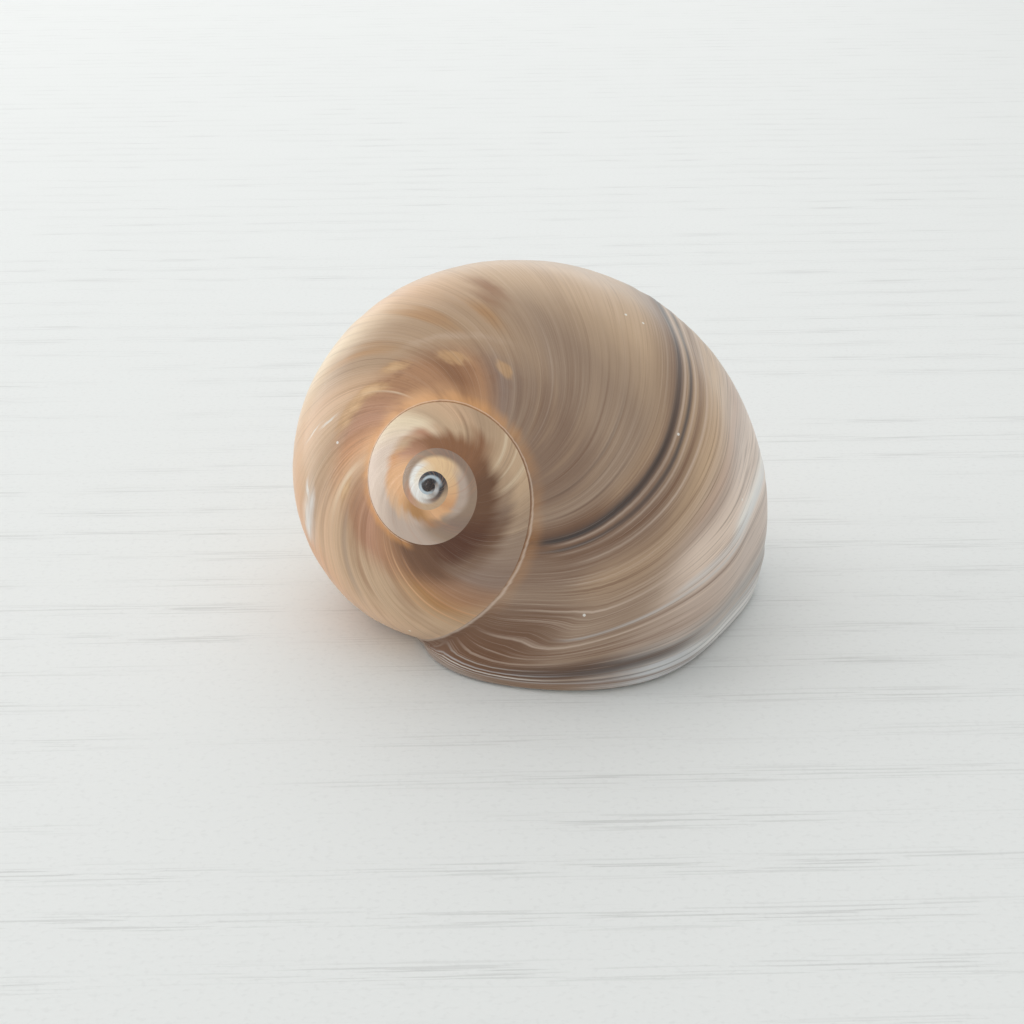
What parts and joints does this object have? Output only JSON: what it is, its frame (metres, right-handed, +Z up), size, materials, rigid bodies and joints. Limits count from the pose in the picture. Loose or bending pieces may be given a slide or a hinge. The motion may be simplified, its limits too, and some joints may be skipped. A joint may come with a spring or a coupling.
{
  "type": "moon snail shell",
  "caption": "Smooth globular sea snail shell with a low spire, a very large last whorl, a wide half-moon mouth and a pad of callus over its umbilicus.",
  "frame": {"origin": "centre of the bounding box's bottom, on the surface that the shell rests on", "axes": "+Z up, with the mouth facing down. +X is the shell's longest extent, from the spire's side towards the mouth's outer side. The spire faces -Y, turned up and a little towards -X."},
  "size_m": [0.06, 0.049, 0.042],
  "materials": {
    "shell": "satin, softly polished shell"
  },
  "bodies": {
    "root": {"shell": "shell"}
  },
  "joints": []
}
